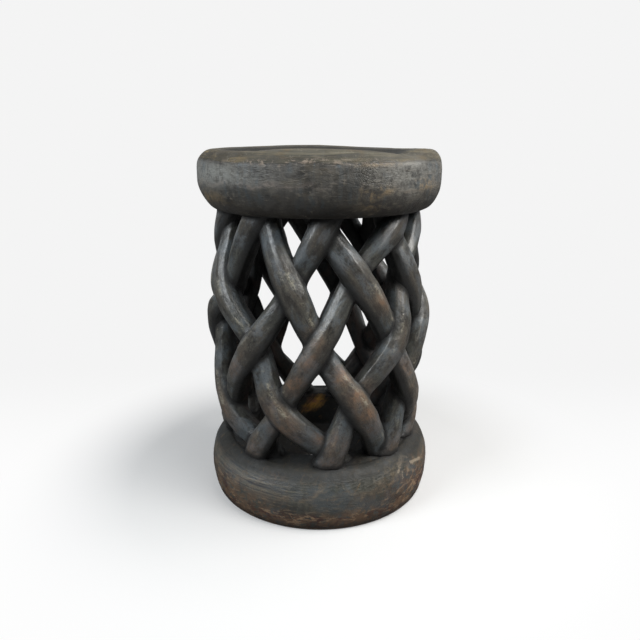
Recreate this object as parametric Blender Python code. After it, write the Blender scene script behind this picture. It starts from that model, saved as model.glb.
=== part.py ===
"""Bamileke stool: a dished round seat on a woven lattice of eighteen bars, standing on an open ring.

Metres, +Z up. The origin is the centre of the circle that the ring stands on. Angles are in degrees, counted
from -Y (the front) towards +X. Nine bars run down to the left and nine run down to the right, as they are
seen from outside. At each crossing one bar lies over the other and is let into it, and the two hands take
turns, one over and one under.
"""

from math import cos, pi, radians, sin

import bmesh
import bpy
from mathutils import Vector

# Heights
ring_height = 0.0768
lattice_height = 0.3025
seat_thickness = 0.0732

# Seat
seat_radius = 0.1524
seat_underside_radius = 0.1310
seat_crest_radius = 0.1320
seat_widest_height = 0.0365
dish_depth = 0.0120
dish_floor_radius = 0.0750

# Base ring
ring_radius = 0.1519
ring_foot_radius = 0.1435
ring_top_radius = 0.1225
ring_bore_radius = 0.0920
ring_hole_radius = 0.0400
ring_widest_height = 0.0365
ring_bore_rounding = 0.0050

# Lattice bars, with the radius of the barrel that their centre lines weave about, and how far along X the
# barrel stands off the seat's axis from its belly up. A bar is wider where it passes over than where it
# passes under, and it spreads from the lowest crossings down to its foot.
left_bar_width = 0.0294
right_bar_width = 0.0324
over_swell = 0.0028
foot_swell = 0.0030
bar_thickness = 0.0310
weave_depth = 0.0040
barrel_radius_at_seat = 0.1075
barrel_radius_at_belly = 0.1280
barrel_radius_at_ring = 0.1115
barrel_shift = -0.0018
left_housing_depth = 0.0065
right_housing_depth = 0.0055
fit_clearance = 0.0003
merge_distance = 0.00003

# Counts
bars_per_hand = 9
steps_per_level = 5
turned_segments = 60

# Steps along a bar: each way from a crossing for the lap there, and past the first and last crossings
lap_reach_steps = 3
end_reach_steps = 3

# Each level of crossings: its height as a share of the lattice's height, and the angle of crossing 0
level_height_shares = [0.98, 0.75, 0.53, 0.28, 0.06]
level_angles = [-32, -55, -78, -100, -120]

# Hand carving leaves each crossing a little off the regular pattern, by this many degrees
drift_angles = [
    [-3, -5, 2, 1, 3, 0, -5, 0, -3],
    [-6, 1, -4, -8, 1, 0, -1, 1, -1],
    [-3, 2, -2, 2, -1, 3, 2, 0, -6],
    [2, -6, -1, 0, -1, 1, 4, 0, -3],
    [0, 0, 0, 7, 5, 0, 1, 1, -2],
]

# And by this share of the lattice's height
drift_height_shares = [
    [0.04, -0.02, -0.02, -0.01, 0.02, -0.02, 0.01, 0.00, -0.02],
    [-0.05, -0.01, 0.02, 0.00, -0.03, 0.01, 0.01, 0.00, -0.04],
    [0.01, -0.05, -0.02, -0.02, 0.01, 0.01, -0.02, -0.03, 0.04],
    [-0.04, -0.10, -0.04, -0.01, -0.02, 0.00, -0.04, -0.04, -0.04],
    [0.00, 0.00, -0.04, -0.03, -0.10, -0.01, 0.02, -0.01, -0.02],
]

# Section of a bar, as shares of half its width and half its thickness: a broad outer face with wide
# chamfers, and a narrower back
section_shares = [
    (0.45, 1.00),
    (0.94, 0.56),
    (0.94, -0.20),
    (0.55, -0.94),
    (-0.55, -0.94),
    (-0.94, -0.20),
    (-0.94, 0.56),
    (-0.45, 1.00),
]

# Height on the barrel, as a share of the lattice's height, where its radius is the belly's
belly_height_share = 0.43

# The ring's bore narrows a little down to this share of the ring's height, and by this share of the way
# to the hole in the underside, and from there it closes in to the hole
bore_shoulder_height_share = 0.36
bore_shoulder_share = 0.12

# Share of a level, each way, over which a bar's direction is read
tangent_share = 0.02

# Fullness of the rounded sides, above and below the widest circle: 2 is an ellipse, and more is boxier
seat_fullness_above = 3.0
seat_fullness_below = 2.0
ring_fullness = 2.1

# Rows of faces
side_steps = 4
dish_steps = 3

# Edges sharper than this many degrees stay sharp
sharp_angle = 40.0

ring_top = ring_height
seat_underside = ring_height + lattice_height
seat_top = seat_underside + seat_thickness
last_level = len(level_angles) - 1
last_crossing_step = last_level * steps_per_level
left_hand = 1
right_hand = -1


def clear_scene():
    for item in list(bpy.data.objects):
        bpy.data.objects.remove(item, do_unlink=True)


def material(name, colour, roughness):
    made = bpy.data.materials.new(name)
    made.use_nodes = True
    shader = made.node_tree.nodes["Principled BSDF"]
    shader.inputs["Base Color"].default_value = (*colour, 1.0)
    shader.inputs["Roughness"].default_value = roughness
    shader.inputs["Metallic"].default_value = 0.0
    return made


def object_from(name, mesh_maker, finish):
    mesh = bpy.data.meshes.new(name)
    mesh_maker.to_mesh(mesh)
    mesh_maker.free()
    made = bpy.data.objects.new(name, mesh)
    bpy.context.scene.collection.objects.link(made)
    made.data.materials.append(finish)
    return made


def shade_round(item, edge_angle):
    item.data.shade_smooth()
    item.data.set_sharp_from_angle(angle=radians(edge_angle))


def turned(name, profile, finish):
    """A solid turned about Z from a profile of (radius, height) points that may start and end on the axis."""
    maker = bmesh.new()
    points = [maker.verts.new((radius, 0.0, height)) for radius, height in profile]
    edges = [maker.edges.new(pair) for pair in zip(points, points[1:])]
    if profile[0][0] > 0:
        edges.append(maker.edges.new((points[-1], points[0])))
    bmesh.ops.spin(
        maker,
        geom=points + edges,
        cent=(0.0, 0.0, 0.0),
        axis=(0.0, 0.0, 1.0),
        angle=2 * pi,
        steps=turned_segments,
        use_merge=True,
    )
    bmesh.ops.remove_doubles(maker, verts=maker.verts, dist=merge_distance)
    bmesh.ops.recalc_face_normals(maker, faces=maker.faces)
    return object_from(name, maker, finish)


def rounded(edge, widest, fullness):
    """Points (radius, height) on a quarter of a full curve, from an edge circle out to the widest circle."""
    points = []
    for step in range(side_steps + 1):
        turn = pi / 2 * step / side_steps
        out_share = sin(turn) ** (2 / fullness)
        rise_share = 1 - cos(turn) ** (2 / fullness)
        radius = edge[0] + (widest[0] - edge[0]) * out_share
        height = edge[1] + (widest[1] - edge[1]) * rise_share
        points.append((radius, height))
    return points


def bulge(low, widest, high, fullness_below, fullness_above):
    """Points of a rounded side: from the low edge out to the widest circle and back in to the high edge."""
    lower = rounded(low, widest, fullness_below)
    upper = rounded(high, widest, fullness_above)
    return lower + upper[-2::-1]


def seat_profile():
    """Out under the seat, round its side, over the crest and in to the middle of the dish."""
    dish_floor = seat_top - dish_depth
    side = bulge(
        (seat_underside_radius, seat_underside),
        (seat_radius, seat_underside + seat_widest_height),
        (seat_crest_radius, seat_top),
        seat_fullness_below,
        seat_fullness_above,
    )
    dish = []
    for step in range(1, dish_steps + 1):
        share = step / dish_steps
        radius = seat_crest_radius + (dish_floor_radius - seat_crest_radius) * share
        dish.append((radius, seat_top - dish_depth * (1 - cos(pi * share)) / 2))
    return [(0.0, seat_underside)] + side + dish + [(0.0, dish_floor)]


def ring_profile():
    """A closed outline: out from under the ring, round its side, over its top and down the bowl of the bore."""
    side = bulge(
        (ring_foot_radius, 0.0),
        (ring_radius, ring_widest_height),
        (ring_top_radius, ring_top),
        ring_fullness,
        ring_fullness,
    )
    shoulder_radius = ring_bore_radius + (ring_hole_radius - ring_bore_radius) * bore_shoulder_share
    bore = [
        (ring_bore_radius + ring_bore_rounding, ring_top),
        (ring_bore_radius, ring_top - ring_bore_rounding),
        (shoulder_radius, ring_height * bore_shoulder_height_share),
        (ring_hole_radius, 0.0),
    ]
    return side + bore


def crossing(level, index):
    """Angle in degrees and height share of one crossing. The index counts on past a full turn."""
    around = 360.0 / bars_per_hand
    place = index % bars_per_hand
    angle = level_angles[level] + around * index + drift_angles[level][place]
    height_share = level_height_shares[level] + drift_height_shares[level][place]
    return angle, height_share


def bar_crossings(hand, number):
    """The crossings that a bar runs through, from the seat down. A right-hand bar moves on one each level."""
    levels = range(len(level_angles))
    if hand == left_hand:
        return [crossing(level, number - 1) for level in levels]
    return [crossing(level, number - 1 + level) for level in levels]


def partner_of(number, level):
    """The right-hand bar that crosses a left-hand bar at a level."""
    return (number - 1 - level) % bars_per_hand + 1


def smooth_through(values, place):
    """Reads a Catmull-Rom curve through the values, carried on straight at its two ends."""
    before = 2 * values[0] - values[1]
    after = 2 * values[-1] - values[-2]
    points = [before] + list(values) + [after]
    span = min(max(int(place), 0), len(values) - 2)
    t = place - span
    a, b, c, d = points[span : span + 4]
    curve = (2 * a - 5 * b + 4 * c - d) * t**2 + (3 * b - a - 3 * c + d) * t**3
    return (2 * b + (c - a) * t + curve) / 2


def barrel_radius(height_share):
    if height_share > belly_height_share:
        end_radius = barrel_radius_at_seat
        away = (height_share - belly_height_share) / (1 - belly_height_share)
    else:
        end_radius = barrel_radius_at_ring
        away = (belly_height_share - height_share) / belly_height_share
    return barrel_radius_at_belly + (end_radius - barrel_radius_at_belly) * away**2


def bar_centre(hand, crossings, place):
    """Centre of a bar at a place counted in levels from the seat, as an offset from the barrel's surface."""
    angle = radians(smooth_through([angle for angle, share in crossings], place))
    height_share = smooth_through([share for angle, share in crossings], place)
    radius = barrel_radius(height_share) + hand * weave_depth * cos(pi * place)
    shift = barrel_shift * min(1.0, height_share / belly_height_share)
    return Vector((radius * sin(angle) + shift, -radius * cos(angle), ring_top + lattice_height * height_share))


def bar_width(hand, place):
    width = left_bar_width if hand == left_hand else right_bar_width
    foot = max(0.0, place - last_level + 1)
    return width + hand * over_swell * cos(pi * place) + foot_swell * foot


def bar_solid(hand, number, first_step, last_step, grow):
    """Mesh of a bar between two steps along it, its section grown all round, with flat caps.

    The faces are triangles that turn the same way on a bar and on the shapes cut for it, so the clearance
    between them is even.
    """
    crossings = bar_crossings(hand, number)
    maker = bmesh.new()
    loops = []
    for step in range(first_step, last_step + 1):
        place = step / steps_per_level
        centre = bar_centre(hand, crossings, place)
        ahead = bar_centre(hand, crossings, place + tangent_share)
        behind = bar_centre(hand, crossings, place - tangent_share)
        along = (ahead - behind).normalized()
        outward = Vector((centre.x, centre.y, 0.0))
        outward = (outward - along * outward.dot(along)).normalized()
        across = outward.cross(along)
        loop = []
        for across_share, outward_share in section_shares:
            side = across * (bar_width(hand, place) / 2 + grow) * across_share
            rise = outward * (bar_thickness / 2 + grow) * outward_share
            loop.append(maker.verts.new(centre + side + rise))
        loops.append(loop)
    for upper, lower in zip(loops, loops[1:]):
        for corner in range(len(section_shares)):
            following = (corner + 1) % len(section_shares)
            maker.faces.new((upper[corner], upper[following], lower[following]))
            maker.faces.new((upper[corner], lower[following], lower[corner]))
    maker.faces.new(loops[0])
    maker.faces.new(loops[-1])
    bmesh.ops.recalc_face_normals(maker, faces=maker.faces)
    return maker


def trim_level(maker, height, keep_below):
    """Cuts a bar off level at a height and closes the cut."""
    direction = 1.0 if keep_below else -1.0
    whole = maker.verts[:] + maker.edges[:] + maker.faces[:]
    cut = bmesh.ops.bisect_plane(
        maker,
        geom=whole,
        plane_co=(0.0, 0.0, height),
        plane_no=(0.0, 0.0, direction),
        clear_outer=True,
    )
    edges = [item for item in cut["geom_cut"] if isinstance(item, bmesh.types.BMEdge)]
    bmesh.ops.contextual_create(maker, geom=edges)
    bmesh.ops.recalc_face_normals(maker, faces=maker.faces)


def hidden_cutter(name, maker, finish):
    cutter = object_from(name, maker, finish)
    cutter.hide_render = True
    cutter.display_type = "WIRE"
    return cutter


def combine(item, other, operation):
    """Adds a Boolean that takes the other object out of an item, or joins it on."""
    made = item.modifiers.new(other.name, "BOOLEAN")
    made.operation = operation
    made.solver = "EXACT"
    made.object = other


def make_seat(finish):
    return turned("seat", seat_profile(), finish)


def make_ring(finish):
    return turned("base_ring", ring_profile(), finish)


def housing_depth(hand):
    return left_housing_depth if hand == left_hand else right_housing_depth


def make_bar(hand, number, name, finish):
    maker = bar_solid(hand, number, -end_reach_steps, last_crossing_step + end_reach_steps, 0.0)
    trim_level(maker, seat_underside + housing_depth(hand), True)
    trim_level(maker, ring_top - housing_depth(hand), False)
    return object_from(name, maker, finish)


def end_cutter(hand, number, at_seat, name, finish):
    """The end of a bar with its clearance, which cuts its housing under the seat or in the ring's top."""
    depth = housing_depth(hand) + fit_clearance
    if at_seat:
        maker = bar_solid(hand, number, -end_reach_steps, lap_reach_steps, fit_clearance)
        trim_level(maker, seat_underside + depth, True)
    else:
        first_step = last_crossing_step - lap_reach_steps
        maker = bar_solid(hand, number, first_step, last_crossing_step + end_reach_steps, fit_clearance)
        trim_level(maker, ring_top - depth, False)
    return hidden_cutter(name, maker, finish)


def house_ends(item, number, partner, at_seat, name):
    """Cuts one housing for the ends of a left and a right bar that cross beside the seat or the ring."""
    finish = item.data.materials[0]
    left_end = end_cutter(left_hand, number, at_seat, f"{name}_left", finish)
    right_end = end_cutter(right_hand, partner, at_seat, f"{name}_right", finish)
    combine(left_end, right_end, "UNION")
    combine(item, left_end, "DIFFERENCE")


def lap(item, hand, number, level, name):
    """Lets the bar that passes over at a crossing into this one."""
    middle = level * steps_per_level
    maker = bar_solid(hand, number, middle - lap_reach_steps, middle + lap_reach_steps, fit_clearance)
    combine(item, hidden_cutter(name, maker, item.data.materials[0]), "DIFFERENCE")


def build():
    clear_scene()
    blackened = material("blackened_wood", (0.055, 0.056, 0.058), 0.45)
    worn = material("worn_wood", (0.105, 0.098, 0.085), 0.55)
    seat = make_seat(worn)
    ring = make_ring(worn)
    bars = {}
    for number in range(1, bars_per_hand + 1):
        for hand, word in ((left_hand, "left"), (right_hand, "right")):
            bars[hand, number] = make_bar(hand, number, f"strand_{word}_{number}", blackened)
    for number in range(1, bars_per_hand + 1):
        house_ends(seat, number, partner_of(number, 0), True, f"seat_housing_{number}")
        house_ends(ring, number, partner_of(number, last_level), False, f"ring_housing_{number}")
        for level in range(last_level + 1):
            partner = partner_of(number, level)
            if level % 2 == 0:
                lap(bars[right_hand, partner], left_hand, number, level, f"lap_right_{partner}_{level}")
            else:
                lap(bars[left_hand, number], right_hand, partner, level, f"lap_left_{number}_{level}")
    for item in [seat, ring, *bars.values()]:
        shade_round(item, sharp_angle)


build()
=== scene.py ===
"""The bamileke stool as it looks: hand-carved, blackened and worn wood, on a pale studio floor.

Metres, +Z up. Angles are in degrees, counted from -Y (the front) towards +X. Every piece of the stool is a
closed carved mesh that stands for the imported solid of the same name.
"""

from math import cos, pi, radians, sin

import bmesh
import bpy
import numpy as np
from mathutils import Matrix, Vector, noise
from mathutils.bvhtree import BVHTree


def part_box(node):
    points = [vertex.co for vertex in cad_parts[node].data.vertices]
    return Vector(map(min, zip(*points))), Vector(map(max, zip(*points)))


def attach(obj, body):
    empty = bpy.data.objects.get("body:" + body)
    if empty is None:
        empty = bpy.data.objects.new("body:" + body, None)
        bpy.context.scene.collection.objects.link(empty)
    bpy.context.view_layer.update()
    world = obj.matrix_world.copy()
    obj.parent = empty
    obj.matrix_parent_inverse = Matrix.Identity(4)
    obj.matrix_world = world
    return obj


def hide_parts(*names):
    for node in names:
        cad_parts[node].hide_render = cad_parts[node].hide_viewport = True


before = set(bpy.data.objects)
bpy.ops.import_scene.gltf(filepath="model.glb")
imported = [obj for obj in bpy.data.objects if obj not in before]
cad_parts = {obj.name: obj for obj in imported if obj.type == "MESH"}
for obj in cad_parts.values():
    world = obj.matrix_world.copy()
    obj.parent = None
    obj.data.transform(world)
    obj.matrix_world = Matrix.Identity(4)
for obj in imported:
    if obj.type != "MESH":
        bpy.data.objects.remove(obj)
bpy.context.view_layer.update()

# Heights and radii of the turned members, as in the part's own solids
ring_low, ring_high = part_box("base_ring")
seat_low, seat_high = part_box("seat")
ring_top = ring_high[2]
seat_underside = seat_low[2]
seat_top = seat_high[2]
lattice_height = seat_underside - ring_top
ring_radius = (ring_high[0] - ring_low[0]) / 2
seat_radius = (seat_high[0] - seat_low[0]) / 2
seat_underside_radius = 0.1310
seat_crest_radius = 0.1320
seat_widest_height = 0.0365
dish_depth = 0.0120
dish_floor_radius = 0.0750
ring_foot_radius = 0.1435
ring_top_radius = 0.1225
ring_bore_radius = 0.0920
ring_hole_radius = 0.0400
ring_widest_height = 0.0365
ring_bore_rounding = 0.0050
bore_shoulder_height_share = 0.36
bore_shoulder_share = 0.12

# Bars of the lattice, as in the part's own solids
left_bar_width = 0.0294
right_bar_width = 0.0324
over_swell = 0.0028
foot_swell = 0.0030
bar_thickness = 0.0310
weave_depth = 0.0040
barrel_radius_at_seat = 0.1075
barrel_radius_at_belly = 0.1280
barrel_radius_at_ring = 0.1115
barrel_shift = -0.0018
belly_height_share = 0.43
bars_per_hand = 9

# How far the seat's rim dips under its highest point, by angle: the dips follow its outline in the photograph
rim_dip_angles = [
    -180, -160, -125, -90, -62, -42, -31, -22, -10, 2, 14, 24, 31, 38, 45, 50, 55, 62, 75, 100, 130, 155, 180,
]
rim_dips = [
    0.0010, 0.0014, 0.0026, 0.0030, 0.0034, 0.0034, 0.0030, 0.0014, 0.0000, 0.0004, 0.0012, 0.0026,
    0.0044, 0.0062, 0.0078, 0.0066, 0.0030, 0.0016, 0.0026, 0.0036, 0.0046, 0.0034, 0.0010,
]

# Only the carved meshes show these: how far the outer face dives under a crossing, how far a bar's mesh runs
# into the seat and the ring, and the fillets
plunge_depth = 0.0040
sunk_depth_at_seat = 0.0055
sunk_depth_at_ring = 0.0110
crossing_fillet = 0.0070
bar_fillet_at_seat = 0.0050
bar_fillet_at_ring = 0.0070
member_fillet = 0.0055
crease_reach = 0.0090
lattice_inner_radius = 0.085
lattice_outer_radius = 0.142
crease_band_at_seat = (-0.002, 0.002)
crease_band_at_ring = (-0.006, 0.004)
member_reach = 0.013
no_bar_near = 0.02

# The carver's marks on the turned sides and along the bars
side_hollow_size = 0.070
side_hollow_depth = 0.0009
side_chip_depth = 0.0011
seat_chip_size = 0.034
ring_chip_size = 0.032
gouge_size = (0.030, 0.0110, 0.0110)
gouge_depth = 0.0009
ripple_size = 0.014
ripple_depth = 0.0004
gouge_sink = 0.0005

# How a bar's section wanders along it: by what share, and over what length
width_wander = (0.035, 0.045)
depth_wander = (0.04, 0.050)
facet_side_wander = (0.050, 0.032)
facet_rise_wander = (0.035, 0.028)
ridge_wander = (0.22, 0.060)

# Each level of crossings: its height as a share of the lattice's height, and the angle of crossing 0
level_height_shares = [0.98, 0.75, 0.53, 0.28, 0.06]
level_angles = [-32, -55, -78, -100, -120]
# How far each crossing lies off that pattern, in degrees and by share of the lattice's height. The numbers
# are the part's own. They come from searches against the photograph's outline and were partly changed.
drift_angles = [
    [-3, -5, 2, 1, 3, 0, -5, 0, -3],
    [-6, 1, -4, -8, 1, 0, -1, 1, -1],
    [-3, 2, -2, 2, -1, 3, 2, 0, -6],
    [2, -6, -1, 0, -1, 1, 4, 0, -3],
    [0, 0, 0, 7, 5, 0, 1, 1, -2],
]
drift_height_shares = [
    [0.04, -0.02, -0.02, -0.01, 0.02, -0.02, 0.01, 0.00, -0.02],
    [-0.05, -0.01, 0.02, 0.00, -0.03, 0.01, 0.01, 0.00, -0.04],
    [0.01, -0.05, -0.02, -0.02, 0.01, 0.01, -0.02, -0.03, 0.04],
    [-0.04, -0.10, -0.04, -0.01, -0.02, 0.00, -0.04, -0.04, -0.04],
    [0.00, 0.00, -0.04, -0.03, -0.10, -0.01, 0.02, -0.01, -0.02],
]

# A bar's section: places of its corners, as shares of half its width and half its thickness
section_shares = [
    (0.56, 0.93),
    (0.98, 0.50),
    (0.96, -0.24),
    (0.56, -0.96),
    (-0.56, -0.96),
    (-0.96, -0.24),
    (-0.98, 0.44),
    (-0.60, 0.90),
    (0.16, 1.03),
]
ridge_corner = 8

# Where hands and feet have worn the front bars brown: across, up, how far it spreads and how strong
worn_places = [
    (0.032, 0.200, 0.016, 0.9),
    (0.045, 0.175, 0.017, 1.0),
    (0.060, 0.148, 0.016, 1.0),
    (-0.006, 0.248, 0.014, 0.5),
    (-0.018, 0.222, 0.015, 0.8),
    (-0.030, 0.190, 0.016, 1.0),
    (0.078, 0.288, 0.016, 0.7),
    (-0.062, 0.150, 0.018, 0.6),
    (-0.040, 0.125, 0.018, 0.8),
    (0.008, 0.118, 0.014, 0.8),
    (-0.105, 0.200, 0.018, 0.5),
    (0.100, 0.190, 0.018, 0.6),
]

# Pale scars on the ring's right shoulder: where each starts and ends, and how wide it is
ring_scars = [
    ((0.1000, -0.1071, 0.0590), (0.1015, -0.1000, 0.0655), 0.0034),
    ((0.1015, -0.1000, 0.0655), (0.1060, -0.0900, 0.0695), 0.0050),
    ((0.1060, -0.0900, 0.0695), (0.1120, -0.0850, 0.0665), 0.0030),
    ((0.1180, -0.0860, 0.0600), (0.1330, -0.0660, 0.0540), 0.0030),
    ((0.1060, -0.1040, 0.0560), (0.1065, -0.1080, 0.0460), 0.0020),
]

# Soft spots on the seat's side: angle, height, reach round in degrees, reach up and strength
seat_tan_spots = [
    (24, 0.4095, 8, 0.0048, 1.0),
    (22, 0.4000, 4, 0.0120, 0.6),
    (52, 0.4120, 7, 0.0060, 0.8),
    (25, 0.4365, 9, 0.0022, 0.7),
    (-60, 0.3980, 14, 0.0070, 0.5),
]
seat_stained_spots = [(-58, 0.445, 34, 0.030, 1.0), (44, 0.445, 20, 0.030, 0.4)]
# The pale spots at the left and right of the side are partly a pale speckled tone and partly painted sheen
seat_pale_and_sheen_spots = [(40, 0.422, 22, 0.024, 1.0), (-50, 0.424, 26, 0.014, 1.3)]
seat_crackle_spots = [(19, 0.428, 5, 0.016, 1.0), (26, 0.418, 5, 0.006, 0.7)]
# A darker patch on the front of the seat's side, laid into the lobes
seat_dark_spots = [(11, 0.410, 6, 0.016, 0.9)]

# Soft spots on the ring's side, in the same way
# The streaked band at the front left is partly scraped streaks and partly a painted bluish reflection
ring_streak_and_reflection_spots = [(-38, 0.052, 30, 0.016, 0.75)]
ring_raw_spots = [(-52, 0.022, 30, 0.026, 0.9), (62, 0.030, 28, 0.026, 1.0)]
ring_tan_spots = [(40, 0.066, 7, 0.010, 1.0)]

# Fineness of the carved meshes
ring_spacing = 0.0017
turned_segments = 480
profile_start_radius = 0.004
arris_rounding = 0.17
rounding_passes = 3

# Tones of the stage as the camera sees them, and how much light the floor throws back on the stool
floor_tone = 0.985
wall_tone = 0.905
floor_albedo = 0.885
floor_bounce = 0.18
floor_glow = 0.20

# Light of the room away from the lamps
room_light_above = 0.12
room_light_behind = 0.62
room_tint = (0.96, 0.99, 1.0)

# Lamps: name, place, the point that it faces, size, power in watts and colour
lamps = [
    ("main_softbox", (0.84, -0.34, 1.72), (0, 0, 0.2), 1.4, 30.5, (1.0, 0.99, 0.97)),
    ("right_window", (1.38, -0.66, 1.41), (0, 0, 0.25), 0.6, 7, (1.0, 0.98, 0.94)),
    ("left_window", (-1.20, -0.80, 1.25), (0, 0, 0.25), 0.8, 15.5, (0.91, 0.96, 1.0)),
]

# The camera, as fitted to the outline of the seat and the base: lengths of the lens in millimetres
camera_place = (0.0007, -0.780, 0.467)
camera_look_down = 17.17
camera_sensor_width = 36.0
camera_lens = 33.98

# The floor: how far it runs, how far under the stool's foot it lies, and where its shadow and the wall fade
floor_half_width = 4.0
floor_sink = 0.0004
shadow_fades_from = 0.19
shadow_fades_to = 0.45
wall_starts_from = 0.34
wall_starts_to = 0.43

last_level = len(level_angles) - 1
left_hand = 1
right_hand = -1


def wobble(points, lump, seed):
    """Smooth noise from -1 to 1 at each point, with lumps of about the given size."""
    shift = Vector((seed * 3.7, seed * -1.9, seed * 2.3))
    return np.array([noise.noise(Vector(p) + shift) for p in points / lump])


def chips(points, cell, seed):
    """Scoops as a gouge leaves them: their height, from 0 at the middle to about 1, and their ridges."""
    shift = Vector((seed * 2.1, seed * 1.3, seed * -3.1))
    found = np.array([noise.voronoi(Vector(p) + shift)[0][:2] for p in points / np.array(cell)])
    return np.clip(found[:, 0], 0.0, 1.0) ** 2, 1 - ramp(found[:, 1] - found[:, 0], 0.0, 0.16)


def ramp(values, low, high):
    """0 below low, 1 above high, and a smooth rise between."""
    share = np.clip((values - low) / (high - low), 0.0, 1.0)
    return share * share * (3 - 2 * share)


def crossing(level, index):
    around = 360.0 / bars_per_hand
    place = index % bars_per_hand
    angle = level_angles[level] + around * index + drift_angles[level][place]
    return angle, level_height_shares[level] + drift_height_shares[level][place]


def bar_crossings(hand, number):
    if hand == left_hand:
        return [crossing(level, number - 1) for level in range(last_level + 1)]
    return [crossing(level, number - 1 + level) for level in range(last_level + 1)]


def smooth_through(values, places):
    """Reads a Catmull-Rom curve through the values, carried on straight at its two ends."""
    points = np.array([2 * values[0] - values[1], *values, 2 * values[-1] - values[-2]])
    spans = np.clip(np.floor(places).astype(int), 0, len(values) - 2)
    t = places - spans
    a, b, c, d = (points[spans + step] for step in range(4))
    curve = (2 * a - 5 * b + 4 * c - d) * t**2 + (3 * b - a - 3 * c + d) * t**3
    return (2 * b + (c - a) * t + curve) / 2


def barrel_radius(height_share):
    above = (height_share - belly_height_share) / (1 - belly_height_share)
    below = (belly_height_share - height_share) / belly_height_share
    upper = (barrel_radius_at_seat - barrel_radius_at_belly) * np.clip(above, 0, None) ** 2
    lower = (barrel_radius_at_ring - barrel_radius_at_belly) * np.clip(below, 0, None) ** 2
    return barrel_radius_at_belly + upper + lower


def bar_centres(hand, crossings, places):
    angle = np.radians(smooth_through([angle for angle, share in crossings], places))
    height_share = smooth_through([share for angle, share in crossings], places)
    radius = barrel_radius(height_share) + hand * weave_depth * np.cos(pi * places)
    height = ring_top + lattice_height * height_share
    shift = barrel_shift * np.clip(height_share / belly_height_share, None, 1)
    return np.stack([radius * np.sin(angle) + shift, -radius * np.cos(angle), height], axis=1)


def unit(vectors):
    return vectors / np.linalg.norm(vectors, axis=-1, keepdims=True)


def rounded_outline(corners):
    """Cuts the corners of a closed outline: narrowly at first, which keeps its facets, and then finer."""
    for turn in range(rounding_passes):
        cut = arris_rounding if turn == 0 else 0.25
        following = np.roll(corners, -1, axis=-2)
        after = corners + (following - corners) * cut
        before = following + (corners - following) * cut
        both = np.stack([after, before], axis=-2)
        corners = both.reshape(*corners.shape[:-2], -1, corners.shape[-1])
    return corners


def set_layer(item, layer, values):
    kind, field = ("FLOAT_VECTOR", "vector") if values.ndim == 2 else ("FLOAT", "value")
    made = item.data.attributes.new(layer, kind, "POINT")
    made.data.foreach_set(field, values.astype(np.float32).ravel())


def mesh_object(name, points, faces, layers):
    mesh = bpy.data.meshes.new(name)
    mesh.from_pydata(points.tolist(), [], faces)
    item = bpy.data.objects.new(name, mesh)
    bpy.context.scene.collection.objects.link(item)
    for layer, values in layers.items():
        set_layer(item, layer, values)
    return item


def trim(item, height, keep_below):
    """Cuts a bar off level, a little inside the member that it runs into."""
    maker = bmesh.new()
    maker.from_mesh(item.data)
    cut = bmesh.ops.bisect_plane(
        maker,
        geom=maker.verts[:] + maker.edges[:] + maker.faces[:],
        plane_co=(0, 0, height),
        plane_no=(0, 0, 1 if keep_below else -1),
        clear_outer=True,
    )
    edges = [part for part in cut["geom_cut"] if isinstance(part, bmesh.types.BMEdge)]
    bmesh.ops.contextual_create(maker, geom=edges)
    bmesh.ops.recalc_face_normals(maker, faces=maker.faces)
    maker.to_mesh(item.data)
    maker.free()


def even_steps(hand, crossings):
    """Steps of even length along a bar: how far along it each lies, and its place among the crossings."""
    fine = np.linspace(-0.7, last_level + 0.7, 600)
    route = bar_centres(hand, crossings, fine)
    travelled = np.concatenate([[0], np.cumsum(np.linalg.norm(np.diff(route, axis=0), axis=1))])
    along_bar = np.linspace(0, travelled[-1], int(travelled[-1] / ring_spacing))
    return along_bar, np.interp(along_bar, travelled, fine)


def wander(reach, sizes, seed):
    share, length = sizes
    return share * wobble(reach, length, seed)


def ridge_of(hand):
    return 0 if hand == left_hand else ridge_corner


def bar_outlines(hand, seed, reach):
    """The section at each step along a bar, as shares of its half width and half depth. Its facets wander."""
    corners = np.repeat(np.array(section_shares)[None], len(reach), axis=0)
    # The ridge of the outer face keeps to the bar's upper side, so the left-hand bars take it mirrored
    if hand == left_hand:
        corners = corners[:, ::-1] * np.array([-1, 1])
    for corner in range(len(section_shares)):
        corners[:, corner, 0] += wander(reach, facet_side_wander, seed * 9 + corner)
        corners[:, corner, 1] += wander(reach, facet_rise_wander, seed * 9 + corner + 200)
    corners[:, ridge_of(hand), 0] += wander(reach, ridge_wander, seed + 400)
    return rounded_outline(corners)


def wear_of(points, over, heights):
    """Wear by rubbing: most where a bar lies over its neighbour, low down, and at the worn places."""
    reached = 0.10 + 0.35 * (1 - ramp(heights, 0.12, 0.26))
    rubbed = np.repeat(ramp(over, -0.3, 1.0) * reached, len(points) // len(over))
    for place_x, place_z, spread, strength in worn_places:
        off = ((points[:, 0] - place_x) ** 2 + (points[:, 2] - place_z) ** 2) / spread**2
        rubbed = np.maximum(rubbed, strength * np.exp(-off) * (points[:, 1] < 0))
    return rubbed


def arris_wear_and_highlight_of(hand, segments, heights):
    """How pale the arrises beside the ridge are painted, partly as rubbed wear and partly as a highlight on
    the bar's upper side: less on the left-hand bars, and less high up.
    """
    corner_count = len(section_shares)
    steps = np.arange(segments) / segments * corner_count + 0.4375
    ridge = ridge_of(hand)
    upward = -1 if hand == left_hand else 1
    arris_wear_and_highlight = np.zeros(segments)
    for corner, strength in ((ridge, 0.30), (ridge + upward, 1.0), (ridge + 2 * upward, 0.30)):
        away = np.abs((steps - corner + corner_count / 2) % corner_count - corner_count / 2)
        arris_wear_and_highlight = np.maximum(arris_wear_and_highlight, strength * (1 - ramp(away, 0.0, 0.60)))
    faded = (0.45 if hand == left_hand else 1.0) * (1 - 0.8 * ramp(heights, 0.31, 0.36))
    return (arris_wear_and_highlight[None] * faded[:, None]).ravel()


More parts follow.
